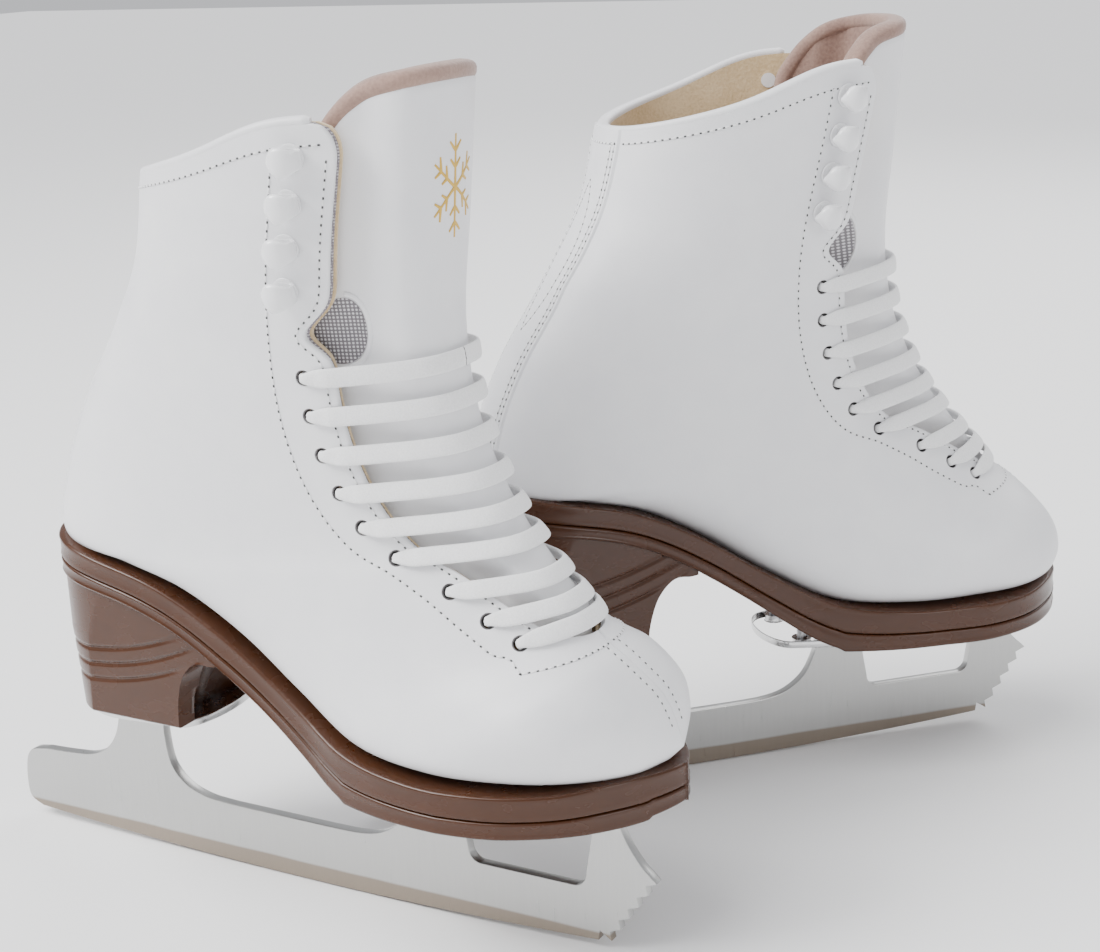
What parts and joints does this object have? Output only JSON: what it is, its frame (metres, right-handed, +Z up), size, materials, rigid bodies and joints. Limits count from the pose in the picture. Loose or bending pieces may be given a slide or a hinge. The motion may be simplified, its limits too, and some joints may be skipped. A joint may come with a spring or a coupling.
{
  "type": "ice skates",
  "caption": "Pair of white leather figure skates with steel blades, brown heeled soles, hooked and laced uppers and padded tongues.",
  "frame": {"origin": "centre of the pair's bounding box on the plane that the blades stand on", "axes": "+Z up; +X along the right skate towards its toe; +Y to the wearer's left of the right skate"},
  "size_m": [0.3539, 0.3189, 0.297],
  "materials": {
    "blade_steel": "satin sides, polished edges, ground band along the edge",
    "plate_steel": "polished",
    "screw_steel": "plain",
    "sole_brown": "glossy chestnut edge dressing",
    "heel_brown": "glossy chestnut, stacked leather",
    "board": "fibre board",
    "footbed_foam": "brushed foam",
    "white_leather": "smooth white, stitched",
    "tan_suede": "soft suede",
    "stiffener": "fibre",
    "foam": "foam",
    "hook_enamel": "glossy white",
    "eyelet_metal": "dark",
    "tongue_suede": "soft mauve-brown suede",
    "lace_cotton": "flat cotton braid"
  },
  "bodies": {
    "right_skate": {"right_blade": "blade_steel", "right_sole_plate": "plate_steel", "right_heel_plate": "plate_steel", "right_sole_screws": "screw_steel", "right_heel_screws": "screw_steel", "right_outsole": "sole_brown", "right_midsole": "sole_brown", "right_heel_block": "heel_brown", "right_shank": "screw_steel", "right_insole_board": "board", "right_footbed": "footbed_foam", "right_quarter_outer": "white_leather", "right_quarter_inner": "white_leather", "right_lining_outer": "tan_suede", "right_lining_inner": "tan_suede", "right_facing_outer": "stiffener", "right_facing_inner": "stiffener", "right_heel_counter": "stiffener", "right_toe_puff": "stiffener", "right_collar_padding": "foam", "right_collar_binding": "white_leather", "right_back_strip": "white_leather", "right_hooks_outer": "hook_enamel", "right_hooks_inner": "hook_enamel", "right_eyelets_outer": "eyelet_metal", "right_eyelets_inner": "eyelet_metal", "right_tongue_lower": "white_leather", "right_lace": "lace_cotton"},
    "right_tongue": {"right_tongue_upper": "white_leather", "right_tongue_lining": "tongue_suede"},
    "left_skate": {"left_blade": "blade_steel", "left_sole_plate": "plate_steel", "left_heel_plate": "plate_steel", "left_sole_screws": "screw_steel", "left_heel_screws": "screw_steel", "left_outsole": "sole_brown", "left_midsole": "sole_brown", "left_heel_block": "heel_brown", "left_shank": "screw_steel", "left_insole_board": "board", "left_footbed": "footbed_foam", "left_quarter_outer": "white_leather", "left_quarter_inner": "white_leather", "left_lining_outer": "tan_suede", "left_lining_inner": "tan_suede", "left_facing_outer": "stiffener", "left_facing_inner": "stiffener", "left_heel_counter": "stiffener", "left_toe_puff": "stiffener", "left_collar_padding": "foam", "left_collar_binding": "white_leather", "left_back_strip": "white_leather", "left_hooks_outer": "hook_enamel", "left_hooks_inner": "hook_enamel", "left_eyelets_outer": "eyelet_metal", "left_eyelets_inner": "eyelet_metal", "left_tongue_lower": "white_leather", "left_lace": "lace_cotton"},
    "left_tongue": {"left_tongue_upper": "white_leather", "left_tongue_lining": "tongue_suede"}
  },
  "joints": [
    {"name": "right_tongue_fold", "type": "hinge", "parent": "right_skate", "child": "right_tongue", "pos_m": [-0.007, -0.1104, 0.209], "axis": [0, -1, 0], "range_deg": [0, 15], "stiffness_Nm_per_rad": 0.15},
    {"name": "left_skate_lift", "type": "slide", "parent": "right_skate", "child": "left_skate", "axis": [0, 0, 1], "range_m": [0, 0.35]},
    {"name": "left_tongue_fold", "type": "hinge", "parent": "left_skate", "child": "left_tongue", "pos_m": [0.07521, 0.06581, 0.209], "axis": [0.7071, -0.7071, 0], "range_deg": [0, 15], "stiffness_Nm_per_rad": 0.15}
  ]
}
